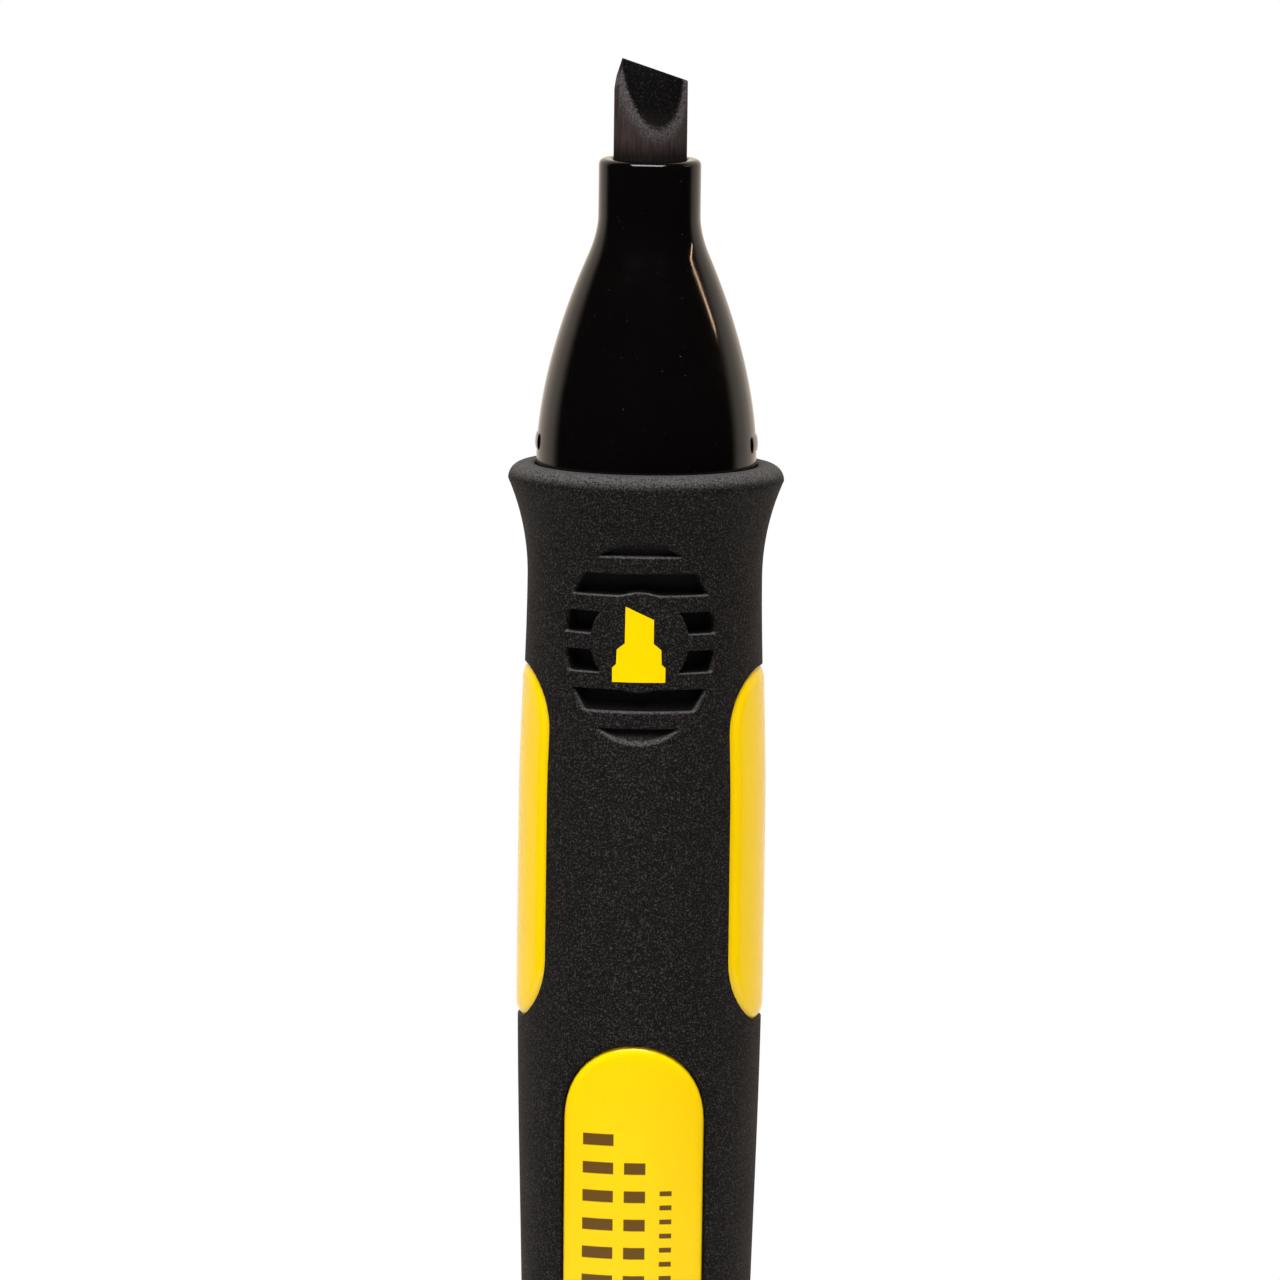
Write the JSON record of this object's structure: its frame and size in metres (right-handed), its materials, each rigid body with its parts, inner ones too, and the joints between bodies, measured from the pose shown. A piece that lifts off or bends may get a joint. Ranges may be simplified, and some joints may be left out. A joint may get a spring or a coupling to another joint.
{
  "type": "chisel-tip marker",
  "caption": "Thick uncapped chisel-tip marker with a soft ribbed grip, yellow inlays and a glossy nose, standing on its cap, which is posted on the tail and has a pocket clip.",
  "frame": {"origin": "centre of the flat end face of the cap, on which the marker stands", "axes": "+Z runs along the marker towards the writing tip, -Y is the front with the thumb rest, the label and the pocket clip, +X is the right-hand side seen from the front"},
  "size_m": [0.0232, 0.0263, 0.1689],
  "materials": {
    "gloss_black": "polished injection moulding",
    "grip_rubber": "fine matte grain, a little dusty",
    "yellow": "satin moulded plastic",
    "barrel_black": "plain moulded plastic",
    "nib_fibre": "bonded fibre soaked with black ink",
    "ink_fibre": "polyester fibre soaked with black ink",
    "film": "thin clear film",
    "liner": "soft translucent plastic"
  },
  "bodies": {
    "cap": {"cap_shell": "gloss_black", "cap_liner": "liner", "cap_band": "grip_rubber", "cap_end_disc": "yellow"},
    "clip": {"pocket_clip": "yellow"},
    "marker": {"nib": "nib_fibre", "nose": "gloss_black", "barrel": "barrel_black", "rubber_grip": "grip_rubber", "label_inlay": "yellow", "right_inlay": "yellow", "rear_inlay": "yellow", "left_inlay": "yellow", "front_symbol": "yellow", "rear_symbol": "yellow", "ink_reservoir": "ink_fibre", "reservoir_film": "film", "tail_plug": "gloss_black"}
  },
  "joints": [
    {"name": "cap_pull", "type": "slide", "parent": "cap", "child": "marker", "axis": [0, 0, 1], "range_m": [0, 0.03]},
    {"name": "clip_flex", "type": "hinge", "parent": "cap", "child": "clip", "pos_m": [0, -0.0098, 0.0056], "axis": [1, 0, 0], "range_deg": [0, 4], "stiffness_Nm_per_rad": 0.5}
  ]
}
